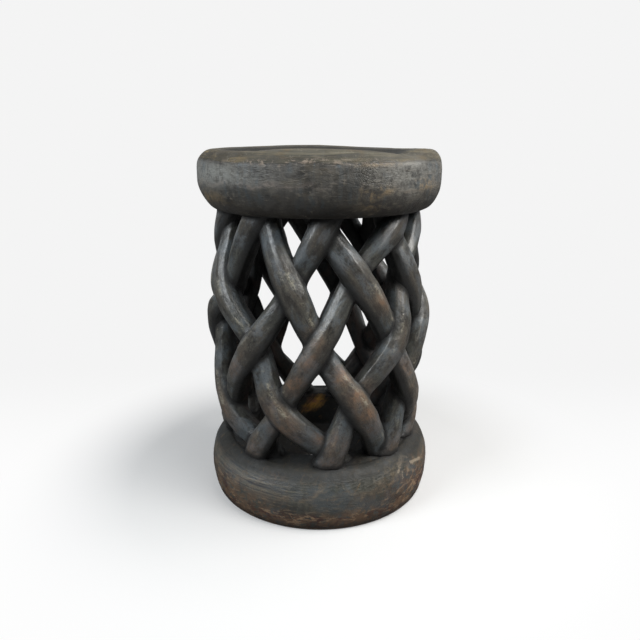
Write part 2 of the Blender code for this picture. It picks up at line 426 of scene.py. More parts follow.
def tube_faces(count, segments):
    """Quads between neighbouring rings of points, and one many-sided face to close each end."""
    rows = np.arange(count)[:, None] * segments + np.arange(segments)[None]
    turn = np.roll(rows, -1, axis=1)
    quads = np.stack([rows[:-1], turn[:-1], turn[1:], rows[1:]], axis=-1).reshape(-1, 4)
    return quads.tolist() + [rows[0].tolist(), rows[-1][::-1].tolist()]


def make_bar(hand, number, name):
    """A bar swept along its route, with gouge marks that run along it and its section's own coordinates."""
    crossings = bar_crossings(hand, number)
    seed = number + (0 if hand == left_hand else 20)
    along_bar, places = even_steps(hand, crossings)
    count = len(places)
    centres = bar_centres(hand, crossings, places)
    along = unit(bar_centres(hand, crossings, places + 0.02) - bar_centres(hand, crossings, places - 0.02))
    outward = centres * np.array([1.0, 1.0, 0.0])
    outward = unit(outward - along * np.sum(outward * along, axis=1, keepdims=True))
    across = np.cross(outward, along)
    over = hand * np.cos(pi * places)
    reach = np.stack([along_bar, np.zeros(count), np.zeros(count)], axis=1)
    width = (left_bar_width if hand == left_hand else right_bar_width) + over * over_swell
    width = width + foot_swell * np.clip(places - last_level + 1, 0, None)
    width = width * (1 + wander(reach, width_wander, seed))
    depth = bar_thickness * (1 + wander(reach, depth_wander, seed + 50))
    outline = bar_outlines(hand, seed, reach)
    side = outline[:, :, 0] * width[:, None] / 2
    rise = outline[:, :, 1] * depth[:, None] / 2
    # The outer face dives further than the bar's middle where the bar passes under
    plunge = plunge_depth * np.clip(0.5 - 0.5 * over, 0, 1) ** 1.5
    rise = rise - plunge[:, None] * ramp(outline[:, :, 1], -0.3, 0.8)
    points = centres[:, None] + across[:, None] * side[..., None] + outward[:, None] * rise[..., None]
    segments = outline.shape[1]
    section_place = np.stack([np.repeat(along_bar[:, None], segments, 1), side, rise], axis=-1).reshape(-1, 3)
    sideways = across[:, None] * (side / width[:, None])[..., None]
    upwards = outward[:, None] * (rise / depth[:, None])[..., None]
    section_normal = unit(sideways + upwards).reshape(-1, 3)
    scoops, ridges = chips(section_place, gouge_size, seed)
    marks = gouge_depth * scoops + ripple_depth * wobble(section_place, ripple_size, seed + 90)
    points = points.reshape(-1, 3) + section_normal * (marks - gouge_sink)[:, None]
    heights = centres[:, 2]
    layers = {
        "grain": section_place,
        # Painted shade: the bar's lower side, turned away from the light, is darkened
        "painted_lower_side_shade": ramp(outline[:, :, 0] * hand, 0.30, 0.95).ravel(),
        "crest": ramp(outline[:, :, 1], 0.35, 0.95).ravel() * wear_of(points, over, heights),
        # Pale arris: partly rubbed wear, partly a painted highlight along the bar's upper edge
        "arris_wear_and_highlight": arris_wear_and_highlight_of(hand, segments, heights),
        "ridge": ridges,
        # Painted shade: the bar's inner faces, towards the stool's hollow, are darkened
        "inside": (1 - ramp(outline[:, :, 1], -0.7, 0.2)).ravel(),
    }
    item = mesh_object(name, points, tube_faces(count, segments), layers)
    trim(item, seat_underside + sunk_depth_at_seat, True)
    trim(item, ring_top - sunk_depth_at_ring, False)
    return item


def rounded(edge, widest, fullness, steps):
    """Points (radius, height) on a quarter of a full curve, from an edge circle out to the widest circle."""
    turn = np.linspace(0, pi / 2, steps + 1)
    out_share = np.sin(turn) ** (2 / fullness)
    rise_share = 1 - np.clip(np.cos(turn), 0, 1) ** (2 / fullness)
    radius = edge[0] + (widest[0] - edge[0]) * out_share
    height = edge[1] + (widest[1] - edge[1]) * rise_share
    return np.stack([radius, height], axis=1)


def line(start, end, steps):
    return np.linspace(start, end, steps + 1)[:-1]


def turned(profile, closed):
    """A turned solid: the profile's points round the axis, closed on themselves or by a point at each end."""
    angles = np.linspace(-pi, pi, turned_segments, endpoint=False)
    rows = len(profile)
    points = np.zeros((rows, turned_segments, 3))
    points[..., 0] = profile[:, :1] * np.sin(angles)
    points[..., 1] = -profile[:, :1] * np.cos(angles)
    points[..., 2] = profile[:, 1:]
    index = np.arange(rows * turned_segments).reshape(rows, turned_segments)
    turn = np.roll(index, -1, axis=1)
    pairs = [(step, (step + 1) % rows) for step in range(rows if closed else rows - 1)]
    faces = []
    for near, far in pairs:
        faces += np.stack([index[near], turn[near], turn[far], index[far]], axis=-1).tolist()
    points = points.reshape(-1, 3)
    if not closed:
        low, high = len(points), len(points) + 1
        points = np.vstack([points, [0, 0, profile[0, 1]], [0, 0, profile[-1, 1]]])
        faces += [[int(turn[0, step]), int(index[0, step]), low] for step in range(turned_segments)]
        faces += [[int(index[-1, step]), int(turn[-1, step]), high] for step in range(turned_segments)]
    return points, faces


def angle_of(points):
    return np.degrees(np.arctan2(points[:, 0], -points[:, 1]))


def lump_at(points, angle, height, wide, tall):
    """A soft spot from 0 to 1 on a turned side, centred on an angle and a height."""
    off = (angle_of(points) - angle + 180) % 360 - 180
    return np.exp(-((off / wide) ** 2) - ((points[:, 2] - height) / tall) ** 2)


def spots(points, places):
    """The strongest of several soft spots on a turned side, each by its own strength."""
    found = np.zeros(len(points))
    for *place, strength in places:
        found = np.maximum(found, strength * lump_at(points, *place))
    return found


def lump(values, middle, reach):
    return np.exp(-(((values - middle) / reach) ** 2))


def side_relief(points, chip_size, seed):
    """How deep slow hollows and chip marks cut into a turned side, and the ridges between the chips."""
    slow = wobble(points * np.array([1, 1, 1.4]), side_hollow_size, seed - 2)
    marks, ridges = chips(points * np.array([1, 1, 1.6]), (chip_size, chip_size, chip_size), seed)
    return side_hollow_depth * (0.5 + 0.5 * slow) + side_chip_depth * (1 - marks), ridges


def seat_profile():
    """Half of the seat's outline, from the middle of its underside round to the middle of its dish."""
    underside = line((profile_start_radius, seat_underside), (seat_underside_radius, seat_underside), 44)
    widest = (seat_radius, seat_underside + seat_widest_height)
    lower = rounded((seat_underside_radius, seat_underside), widest, 2.0, 24)
    upper = rounded((seat_crest_radius, seat_top), widest, 3.0, 24)[-2::-1]
    shares = np.linspace(0, 1, 31)[1:]
    dish_radius = seat_crest_radius + (dish_floor_radius - seat_crest_radius) * shares
    dish = np.stack([dish_radius, seat_top - dish_depth * (1 - np.cos(pi * shares)) / 2], axis=1)
    dish_floor = seat_top - dish_depth
    floor = line((dish_floor_radius, dish_floor), (profile_start_radius, dish_floor), 24)[1:]
    return np.vstack([underside, lower, upper, dish, floor])


def make_seat():
    points, faces = turned(seat_profile(), False)
    radius = np.hypot(points[:, 0], points[:, 1])
    radial = points * np.array([1, 1, 0]) / np.maximum(radius, 0.001)[:, None]
    side = ramp(radius, seat_underside_radius - 0.004, seat_underside_radius + 0.006)
    relief, ridges = side_relief(points, seat_chip_size, 5)
    points = points - radial * (side * relief)[:, None]
    rim = ramp(radius, 0.085, 0.125) * ramp(points[:, 2], seat_top - 0.022, seat_top - 0.004)
    dips = np.interp(angle_of(points), rim_dip_angles, rim_dips)
    points[:, 2] -= rim * (dips + 0.0003 * (1 + wobble(points, 0.040, 8)))
    inner = ramp(seat_top - points[:, 2], -0.001, 0.006) * (radius < seat_crest_radius)
    inner = inner * (points[:, 2] > seat_top - 0.02)
    scoops, dish_ridges = chips(points, (0.024, 0.024, 0.060), 11)
    points[:, 2] += inner * (0.0009 * scoops - 0.0003)
    bottom = (points[:, 2] < seat_underside + 0.0005) & (radius < seat_underside_radius - 0.002)
    points[:, 2] += bottom * (0.0010 * chips(points, (0.022, 0.022, 0.060), 12)[0])
    # The left end is cut further back above and below than the right
    cut_back = 0.0026 * lump_at(points, -88, seat_underside + 0.008, 38, 0.012)
    cut_back += 0.0022 * lump_at(points, -92, seat_top - 0.002, 34, 0.009)
    points -= radial * (cut_back * side)[:, None]
    layers = seat_layers(points, radius, side)
    layers["ridge"] = ridges * side + dish_ridges * inner
    return mesh_object("seat_carved", points, faces, layers)


def seat_layers(points, radius, side):
    """Where the seat's looks change: the scraped band, the lobes under it, the spots, and painted shade in
    the dish, under the seat and low on the side.
    """
    around = angle_of(points)
    height = points[:, 2]
    arch = np.abs(np.sin(np.radians(14 * around) + 1.4 * wobble(points, 0.060, 17)))
    lobe_top = 0.4100 + 0.0045 * arch + 0.0016 * wobble(points, 0.016, 18)
    scalloped = 0.12 + 0.88 * lump(around, -32, 32)
    lobes = ramp(lobe_top - height, -0.0012, 0.0028) * scalloped
    band_foot = seat_top - 0.0145 + 0.0022 * wobble(points, 0.045, 14) + 0.0015 * wobble(points, 0.012, 15)
    dish_edge = radius + 0.005 * wobble(points, 0.022, 19)
    dish = 1 - ramp(dish_edge, seat_crest_radius - 0.020, seat_crest_radius - 0.002)
    sat_on = lump(radius + 0.020 * wobble(points, 0.050, 20), 0.0, 0.085)
    return {
        "grain": points,
        "band": ramp(height - band_foot, -0.0012, 0.0016) * (1 - dish),
        "lip": lump(height, band_foot - 0.0006, 0.0009) * side,
        "lip_chips": lump(height, band_foot + 0.0012, 0.0022) * lump(around, -12, 26) * side,
        "lobes": np.maximum(lobes, spots(points, seat_dark_spots) * side),
        "lobe_edge": lump(height, lobe_top + 0.0010, 0.0014) * scalloped * side,
        "tan": spots(points, seat_tan_spots),
        "stained": spots(points, seat_stained_spots),
        "pale": spots(points, seat_pale_and_sheen_spots),
        "crackle": spots(points, seat_crackle_spots),
        # Painted shade: the side is darker towards the bottom, away from the light above
        "low": 1 - ramp(height + 0.006 * wobble(points, 0.030, 16), 0.382, 0.411),
        "sat_on": sat_on * (height > seat_underside + 0.02),
        # Painted shade: the dish and the underside are darkened
        "inside": np.clip(dish + (height < seat_underside + 0.0006), 0, 1),
    }


def ring_profile():
    """The ring's outline, from its hole along the floor, round its side and back down through the bore."""
    underside = line((ring_hole_radius, 0.0), (ring_foot_radius, 0.0), 40)
    widest = (ring_radius, ring_widest_height)
    lower = rounded((ring_foot_radius, 0.0), widest, 2.1, 24)
    upper = rounded((ring_top_radius, ring_top), widest, 2.1, 24)[-2::-1]
    top = line((ring_top_radius, ring_top), (ring_bore_radius + ring_bore_rounding, ring_top), 18)[1:]
    turn = np.linspace(0, pi / 2, 7)
    edge_radius = ring_bore_radius + ring_bore_rounding * (1 - np.sin(turn))
    edge_height = ring_top - ring_bore_rounding * (1 - np.cos(turn))
    edge = np.stack([edge_radius, edge_height], axis=1)
    shoulder = (
        ring_bore_radius + (ring_hole_radius - ring_bore_radius) * bore_shoulder_share,
        ring_top * bore_shoulder_height_share,
    )
    bore = line((ring_bore_radius, ring_top - ring_bore_rounding), shoulder, 24)[1:]
    bowl = line(shoulder, (ring_hole_radius, 0.0), 24)
    return np.vstack([underside, lower, upper, top, edge, bore, bowl])


def make_ring():
    points, faces = turned(ring_profile(), True)
    radius = np.hypot(points[:, 0], points[:, 1])
    radial = points * np.array([1, 1, 0]) / radius[:, None]
    outer = ramp(radius, ring_top_radius - 0.004, ring_top_radius + 0.006)
    relief, ridges = side_relief(points, ring_chip_size, 25)
    clear_of_floor = ramp(points[:, 2], 0.0005, 0.004)
    points = points - radial * (outer * relief * clear_of_floor)[:, None]
    bore_wall = 1 - ramp(radius, ring_bore_radius + 0.001, ring_bore_radius + 0.006)
    bore_wall = bore_wall * clear_of_floor
    scoops = chips(points * np.array([1, 1, 0.6]), (0.022, 0.022, 0.022), 27)[0]
    points = points + radial * (bore_wall * (0.0022 * scoops + 0.0012 * wobble(points, 0.030, 28)))[:, None]
    level = ramp(points[:, 2], ring_top - 0.006, ring_top - 0.001) * (radius < ring_top_radius + 0.004)
    hollows, top_ridges = chips(points, (0.026, 0.026, 0.060), 29)
    points[:, 2] -= level * (0.0002 + 0.0010 * (1 - hollows) + 0.0004 * (1 + wobble(points, 0.030, 30)))
    # The shoulder was chopped back by eye, so the edge of the ring's top wanders
    shoulder = lump(radius, ring_top_radius + 0.003, 0.010)
    shoulder = shoulder * ramp(points[:, 2], ring_top - 0.030, ring_top - 0.004)
    chopped = 0.5 + 0.5 * wobble(points * np.array([1, 1, 0.3]), 0.034, 34)
    points[:, 2] -= shoulder * (0.0034 * chopped + 0.0016 * lump_at(points, 84, ring_top, 26, 1.0))
    layers = ring_layers(points, outer, bore_wall)
    layers["ridge"] = ridges * outer + top_ridges * level
    return mesh_object("base_ring_carved", points, faces, layers)


def ring_layers(points, outer, bore_wall):
    """Where the ring's looks change: the streaked band with a painted reflection, raw wood near the foot, raw
    wood in the bore lit as a painted pool of light, and painted shade in the bore, on the top under the bars
    and at the foot.
    """
    height = points[:, 2]
    low = 1 - ramp(height + 0.008 * wobble(points, 0.030, 31), 0.014, 0.034)
    # Raw wood shows in a slanting patch on the far wall of the bore, painted bright as a pool of light with a
    # slanting shadow edge
    aside = (angle_of(points) - 184 + 180) % 360 - 180 + (height - 0.064) * 420
    # Painted shade on the ring's top under the bars, where the lattice and the seat shade it
    painted_top_shade = 0.92 * ramp(height, ring_top - 0.021, ring_top - 0.008)
    return {
        "grain": points,
        # The band at the front left: scraped streaks with a painted bluish reflection
        "band": spots(points, ring_streak_and_reflection_spots) * outer,
        "raw": np.clip(np.maximum(low, spots(points, ring_raw_spots)) * outer, 0, 1),
        "bare_wood_and_light": bore_wall * np.exp(-((aside / 9) ** 2) - ((height - 0.063) / 0.014) ** 2),
        "tan": spots(points, ring_tan_spots),
        # Painted shade: a contact shadow darkens the foot
        "low": 0.75 * (1 - ramp(height, 0.001, 0.017)),
        # Painted shade: the bore and the top under the bars are darkened
        "inside": np.clip(bore_wall + painted_top_shade, 0, 1),
    }


def vectors_of(rows, field):
    values = np.zeros(len(rows) * 3, dtype=np.float32)
    rows.foreach_get(field, values)
    return values.reshape(-1, 3).astype(float)


def coordinates(item):
    return vectors_of(item.data.vertices, "co")


def normals(item):
    return vectors_of(item.data.vertex_normals, "vector")


def surface_of(items):
    points, faces, base = [], [], 0
    for item in items:
        points += [tuple(p) for p in coordinates(item)]
        faces += [[corner + base for corner in face.vertices] for face in item.data.polygons]
        base = len(points)
    return BVHTree.FromPolygons(points, faces)


def distance_to(surface, points, reach):
    """Distance outside a closed surface, negative inside it, and no more than reach."""
    far = np.full(len(points), reach)
    for index, point in enumerate(points):
        found, normal, face, distance = surface.find_nearest(point, reach)
        if found is not None:
            outside = (Vector(point) - found).dot(normal) >= 0
            far[index] = distance if outside else -distance
    return far


def blend_into(item, away, fillet):
    """Raises a surface into a fillet where it meets a neighbour, and tells how deep in the crease it lies,
    for the painted shade there.
    """
    share = np.clip(1 - np.abs(away) / fillet, 0, 1)
    points = coordinates(item) + normals(item) * (share**2 * fillet / 4)[:, None]
    item.data.vertices.foreach_set("co", points.astype(np.float32).ravel())
    return 1 - ramp(away, 0.0, crease_reach)


def carve_creases(bars, seat, ring):
    """Runs the bars into each other, the seat and the ring as one log would show them."""
    trees = {key: surface_of([bar]) for key, bar in bars.items()}
    moves = {}
    for (hand, number), bar in bars.items():
        points = coordinates(bar)
        away = np.full(len(points), crease_reach)
        for other in range(1, bars_per_hand + 1):
            away = np.minimum(away, distance_to(trees[-hand, other], points, crease_reach))
        to_seat = seat_underside - points[:, 2]
        to_ring = points[:, 2] - ring_top
        moves[hand, number] = (away, to_seat, to_ring)
    for key, bar in bars.items():
        away, to_seat, to_ring = moves[key]
        crease = blend_into(bar, away, crossing_fillet)
        crease = np.maximum(crease, blend_into(bar, to_seat, bar_fillet_at_seat))
        crease = np.maximum(crease, blend_into(bar, to_ring, bar_fillet_at_ring))
        # The materials paint the crease layer as shade where the bars meet
        set_layer(bar, "crease", crease)
    members = ((seat, seat_underside, crease_band_at_seat), (ring, ring_top, crease_band_at_ring))
    for member, height, (low, high) in members:
        points = coordinates(member)
        radius = np.hypot(points[:, 0], points[:, 1])
        near = (points[:, 2] > height + low) & (points[:, 2] < height + high)
        near = near & (radius > lattice_inner_radius) & (radius < lattice_outer_radius)
        away = np.full(len(points), no_bar_near)
        picked = np.where(near)[0]
        found = np.full(len(picked), no_bar_near)
        for tree in trees.values():
            found = np.minimum(found, distance_to(tree, points[picked], member_reach))
        away[picked] = found
        # The materials paint the crease layer as shade where the bars meet the seat and the ring
        set_layer(member, "crease", blend_into(member, away, member_fillet))


class Nodes:
    """Short ways to add shader nodes to one material, or to the world."""

    def __init__(self, owner):
        owner.use_nodes = True
        self.owner = owner
        self.tree = owner.node_tree
        self.shader = self.tree.nodes.get("Principled BSDF")

    def add(self, kind, **settings):
        node = self.tree.nodes.new(kind)
        for key, value in settings.items():
            setattr(node, key, value)
        return node

    def feed(self, socket, value):
        if isinstance(value, bpy.types.NodeSocket):
            self.tree.links.new(value, socket)
        else:
            socket.default_value = value

    def layer(self, name, output="Fac"):
        return self.add("ShaderNodeAttribute", attribute_name=name).outputs[output]

    def math(self, operation, first, second=0.0, clamp=False):
        node = self.add("ShaderNodeMath", operation=operation, use_clamp=clamp)
        self.feed(node.inputs[0], first)
        self.feed(node.inputs[1], second)
        return node.outputs[0]

    def times(self, first, second, clamp=False):
        return self.math("MULTIPLY", first, second, clamp)

    def plus(self, first, second, clamp=False):
        return self.math("ADD", first, second, clamp)

    def vectors(self, operation, first, second=(0.0, 0.0, 0.0)):
        """A sum with vectors. The second value of SCALE is a plain number."""
        node = self.add("ShaderNodeVectorMath", operation=operation)
        self.feed(node.inputs[0], first)
        self.feed(node.inputs["Scale" if operation == "SCALE" else 1], second)
        return node.outputs

    def scaled(self, vector, values, setting="Scale"):
        node = self.add("ShaderNodeMapping")
        self.feed(node.inputs["Vector"], vector)
        node.inputs[setting].default_value = values
        return node.outputs[0]

    def turned(self, vector, turn):
        return self.scaled(vector, turn, "Rotation")

    def tinted(self, level, tint):
        node = self.add("ShaderNodeCombineColor")
        for channel, share in zip(("Red", "Green", "Blue"), tint):
            self.feed(node.inputs[channel], self.times(level, share))
        return node.outputs[0]

    def bent(self, vector, wave, reach):
        """Shifts a place by a wave that runs from 0 to 1, so that what is drawn there looks ragged."""
        shift = self.vectors("SCALE", (reach, reach, -reach), self.math("SUBTRACT", wave, 0.5))
        return self.vectors("ADD", vector, shift["Vector"])["Vector"]

    def stroke(self, place, start, end, width):
        """1 on a line drawn between two places and 0 beyond its width."""
        along = Vector(end) - Vector(start)
        offset = self.vectors("SUBTRACT", place, start)["Vector"]
        reach = self.vectors("DOT_PRODUCT", offset, along / along.length_squared)["Value"]
        nearest = self.vectors("SCALE", along, self.times(reach, 1.0, True))["Vector"]
        away = self.vectors("DISTANCE", offset, nearest)["Value"]
        return self.span(away, width * 0.3, width, 1.0, 0.0)

    def noise(self, vector, scale, detail=4.0, rough=0.55, bend=0.0):
        node = self.add("ShaderNodeTexNoise")
        self.feed(node.inputs["Vector"], vector)
        node.inputs["Scale"].default_value = scale
        node.inputs["Detail"].default_value = detail
        node.inputs["Roughness"].default_value = rough
        node.inputs["Distortion"].default_value = bend
        return node.outputs["Fac"]

    def cracks(self, vector, scale):
        node = self.add("ShaderNodeTexVoronoi", feature="DISTANCE_TO_EDGE")
        self.feed(node.inputs["Vector"], vector)
        node.inputs["Scale"].default_value = scale
        return node.outputs["Distance"]

    def span(self, value, low, high, to_low=0.0, to_high=1.0):
        node = self.add("ShaderNodeMapRange", interpolation_type="SMOOTHSTEP")
        self.feed(node.inputs["Value"], value)
        node.inputs["From Min"].default_value = low
        node.inputs["From Max"].default_value = high
        node.inputs["To Min"].default_value = to_low
        node.inputs["To Max"].default_value = to_high
        return node.outputs["Result"]

    def blend(self, share, first, second, how="MIX"):
        node = self.add("ShaderNodeMix", data_type="RGBA", blend_type=how)
        self.feed(node.inputs["Factor"], share)
        self.feed(node.inputs[6], first)
        self.feed(node.inputs[7], second)
        return node.outputs[2]

    def coated(self, colour, coats):
        """Lays tones over a colour in turn, each as strongly as its share says."""
        for share, tone in coats:
            colour = self.blend(share, colour, tone)
        return colour

    def finish(self, colour, rough, bumps):
        """Joins all up. The bumps, each a height and how far it stands out, lie one on the other."""
        self.feed(self.shader.inputs["Base Color"], colour)
        self.feed(self.shader.inputs["Roughness"], rough)
        relief = self.shader.inputs["Normal"]
        for height, distance in reversed(bumps):
            node = self.add("ShaderNodeBump")
            node.inputs["Distance"].default_value = distance
            self.feed(node.inputs["Height"], height)
            self.tree.links.new(node.outputs["Normal"], relief)
            relief = node.inputs["Normal"]
        return self.owner


def srgb(red, green, blue):
    """A colour given as it looks on screen, from 0 to 255, in the linear values that a shader takes."""
    shares = np.array([red, green, blue]) / 255
    linear = np.where(shares <= 0.04045, shares / 12.92, ((shares + 0.055) / 1.055) ** 2.4)
    return (*linear.tolist(), 1.0)


def bar_material():
    """Blackened, waxed wood: dark and mottled, brown where the crests are rubbed, pale along the ridges and
    the upper arris, which is partly wear and partly a painted highlight; painted shade darkens the lower
    side, the inner faces and the creases.
    """
    n = Nodes(bpy.data.materials.new("blackened_bar_wood"))
    place = n.layer("grain", "Vector")
    fibre = n.noise(n.scaled(place, (30, 300, 300)), 1, 6, 0.6, 0.3)
    leather = n.noise(n.scaled(place, (0.8, 1, 1)), 620, 3, 0.6)
    cloud = n.noise(n.scaled(place, (0.7, 1, 1)), 48, 5, 0.62, 0.6)
    patch = n.noise(n.scaled(place, (0.6, 1, 1)), 66, 5, 0.66, 0.3)
    wear = n.noise(n.scaled(place, (0.55, 1, 1)), 34, 6, 0.68, 0.8)
    mottle = n.noise(place, 240, 4, 0.65)
    colour = n.blend(n.span(fibre, 0.32, 0.74), srgb(68, 69, 66), srgb(94, 94, 87))
    worn = n.times(n.layer("crest"), n.span(wear, 0.34, 0.56, 0.45, 1))
    worn = n.times(worn, n.span(n.plus(leather, mottle), 0.78, 1.12, 0.60, 1))
    brown = n.blend(n.span(patch, 0.4, 0.6), srgb(166, 125, 91), srgb(124, 103, 86))
    chipped = n.times(n.layer("ridge"), n.span(n.plus(mottle, patch), 0.90, 1.20))
    broken = n.noise(n.scaled(place, (1, 0.5, 0.5)), 60, 3, 0.6)
    # The pale arris is partly rubbed wear and partly a painted highlight along the bar's upper edge
    rubbed = n.times(n.layer("arris_wear_and_highlight"), n.span(broken, 0.47, 0.60))
    rubbed = n.times(rubbed, n.span(n.plus(leather, mottle), 0.86, 1.08))
    # Painted shade for the bar's inner faces: near black, with some brown
    inner_shade_tone = n.blend(n.span(wear, 0.50, 0.62), srgb(13, 12, 11), srgb(60, 38, 26))
    coats = [
        (n.span(cloud, 0.44, 0.60, 0, 0.80), srgb(97, 106, 112)),
        (n.span(patch, 0.49, 0.60, 0, 0.78), srgb(41, 39, 36)),
        (n.span(mottle, 0.54, 0.70, 0, 0.45), srgb(38, 37, 35)),
        (n.span(leather, 0.42, 0.30, 0, 0.70), srgb(30, 30, 29)),
        (n.span(leather, 0.56, 0.70, 0, 0.55), srgb(122, 120, 112)),
        (n.times(worn, 0.95), brown),
        (n.times(chipped, 0.25), srgb(118, 112, 100)),
        # Pale arris: rubbed wear with a painted highlight
        (n.times(rubbed, 0.85), srgb(172, 166, 148)),
        # Painted shade on the bar's lower side
        (n.times(n.layer("painted_lower_side_shade"), 0.88), srgb(24, 23, 22)),
        # Painted shade on the bar's inner faces
        (n.times(n.layer("inside"), 0.80), inner_shade_tone),
        # Painted shade where the bars meet each other, the seat and the ring
        (n.span(n.layer("crease"), 0.05, 0.90, 0, 0.90), srgb(9, 8, 8)),
    ]
    n.shader.inputs["Specular IOR Level"].default_value = 0.9
    n.shader.inputs["Coat Weight"].default_value = 0.22
    n.shader.inputs["Coat Roughness"].default_value = 0.26
    rough = n.span(n.plus(cloud, mottle), 0.84, 1.16, 0.30, 0.50)
    rough = n.plus(rough, n.times(worn, 0.12))
    rough = n.plus(rough, n.times(n.layer("crease"), 0.30))
    rough = n.plus(rough, n.times(n.layer("inside"), 0.25), True)
    bumps = [(fibre, 0.00035), (mottle, 0.00055), (leather, 0.00022)]
    return n.finish(n.coated(colour, coats), rough, bumps)


def scraped(n, place):
    """Noise that upright grain and a scraper drawn round the member leave on the seat and the ring."""
    upright = n.noise(n.scaled(place, (150, 150, 20)), 1, 5, 0.6, 0.4)
    hoops = n.noise(n.scaled(place, (16, 16, 430)), 1, 5, 0.62, 0.3)
    return upright, hoops


def seat_material():
    """Worn wood: mottled grey and brown on the side, a scraped olive band round the rim, and painted shade in
    the dish, under the seat, low on the side and at the creases; the pale spots carry painted sheen.
    """
    n = Nodes(bpy.data.materials.new("worn_seat_wood"))
    place = n.layer("grain", "Vector")
    upright, hoops = scraped(n, place)
    cloud = n.noise(place, 17, 4, 0.6, 0.8)
    patch = n.noise(n.scaled(place, (1, 1, 1.8)), 38, 5, 0.62, 0.5)
    smut = n.noise(n.scaled(place, (1, 1, 1.5)), 25, 4, 0.58, 0.4)
    smear = n.noise(n.scaled(place, (1, 1, 3.6)), 55, 5, 0.6, 1.2)
    mottle = n.noise(place, 190, 5, 0.68)
    colour = n.blend(n.span(upright, 0.30, 0.72), srgb(82, 80, 76), srgb(104, 101, 96))
    stripes = n.noise(n.scaled(place, (120, 120, 13)), 1, 3, 0.6, 0.2)
    washed = n.times(n.span(stripes, 0.46, 0.60), n.span(cloud, 0.42, 0.56))
    # Pale speckled tone at the left and right of the side, partly painted sheen
    pale_and_sheen = n.times(n.layer("pale"), n.span(n.plus(patch, mottle), 0.82, 1.12, 0.2, 1))
    lobes = n.times(n.layer("lobes"), n.span(cloud, 0.40, 0.58, 0.1, 1))
    lobe_edges = n.times(n.layer("lobe_edge"), n.span(n.plus(mottle, patch), 0.90, 1.10))
    chipped = n.times(n.layer("ridge"), n.span(n.plus(mottle, smear), 1.00, 1.16))
    chipped = n.times(chipped, n.span(n.noise(place, 30, 3, 0.6), 0.46, 0.60))
    tan = n.times(n.layer("tan"), n.span(n.plus(mottle, patch), 0.86, 1.14))
    flakes = n.cracks(place, 330)
    crazed = n.times(n.layer("crackle"), n.span(flakes, 0.02, 0.16, 1, 0))
    streaks = n.blend(n.span(hoops, 0.34, 0.64), srgb(64, 61, 51), srgb(112, 107, 91))
    streaks = n.blend(n.span(patch, 0.50, 0.66, 0, 0.5), streaks, srgb(90, 76, 56))
    streaks = n.blend(n.times(n.layer("stained"), 0.85), streaks, srgb(58, 50, 38))
    gilt = n.times(n.layer("stained"), n.span(n.plus(hoops, patch), 1.04, 1.18))
    streaks = n.blend(n.times(gilt, 0.6), streaks, srgb(150, 132, 96))
    streaks = n.blend(n.span(mottle, 0.56, 0.72, 0, 0.5), streaks, srgb(142, 137, 122))
    band = n.times(n.layer("band"), n.span(n.plus(hoops, cloud), 0.70, 1.05, 0.45, 1))
    lip = n.times(n.layer("lip"), n.span(n.plus(hoops, mottle), 0.86, 1.08))
    gouged = n.times(n.layer("lip_chips"), n.span(n.plus(mottle, smear), 0.98, 1.12))
    sat_on = n.times(n.layer("sat_on"), n.span(n.plus(patch, mottle), 0.84, 1.12))
    coats = [
        (n.times(washed, 0.80), srgb(96, 105, 110)),
        (n.span(patch, 0.48, 0.66, 0, 0.60), srgb(112, 104, 90)),
        (n.span(smut, 0.50, 0.62, 0, 0.70), srgb(50, 48, 46)),
        (n.span(smear, 0.56, 0.66, 0, 0.60), srgb(132, 126, 116)),
        (n.span(mottle, 0.55, 0.72, 0, 0.40), srgb(136, 130, 120)),
        (n.times(pale_and_sheen, 0.85), srgb(154, 154, 149)),
        (n.times(lobes, 0.48), srgb(52, 53, 52)),
        (n.times(lobe_edges, 0.60), srgb(160, 147, 138)),
        # Painted shade low on the seat's side
        (n.times(n.layer("low"), 0.68), srgb(52, 46, 39)),
        (n.times(chipped, 0.55), srgb(154, 144, 130)),
        (n.times(tan, 0.85), srgb(170, 144, 104)),
        (n.times(crazed, 0.60), srgb(40, 40, 38)),
        (n.times(band, 0.90), streaks),
        (n.times(lip, 0.60), srgb(40, 36, 31)),
        (n.times(gouged, 0.8), srgb(184, 166, 150)),
        # Painted shade in the dish and under the seat
        (n.times(n.layer("inside"), 0.90), srgb(26, 26, 24)),
        (n.times(sat_on, 0.60), srgb(92, 80, 64)),
        # Painted shade where the bars meet the seat
        (n.span(n.layer("crease"), 0.20, 1, 0, 0.90), srgb(9, 8, 8)),
    ]
    n.shader.inputs["Specular IOR Level"].default_value = 0.5
    rough = n.span(n.plus(upright, mottle), 0.75, 1.25, 0.40, 0.56)
    rough = n.plus(rough, n.times(n.layer("band"), 0.28))
    rough = n.plus(rough, n.times(n.layer("inside"), 0.35), True)
    bumps = [(n.times(hoops, n.layer("band")), 0.0005), (upright, 0.0002), (smear, 0.0008)]
    bumps += [(mottle, 0.0004), (n.times(crazed, -1), 0.0002)]
    return n.finish(n.coated(colour, coats), rough, bumps)


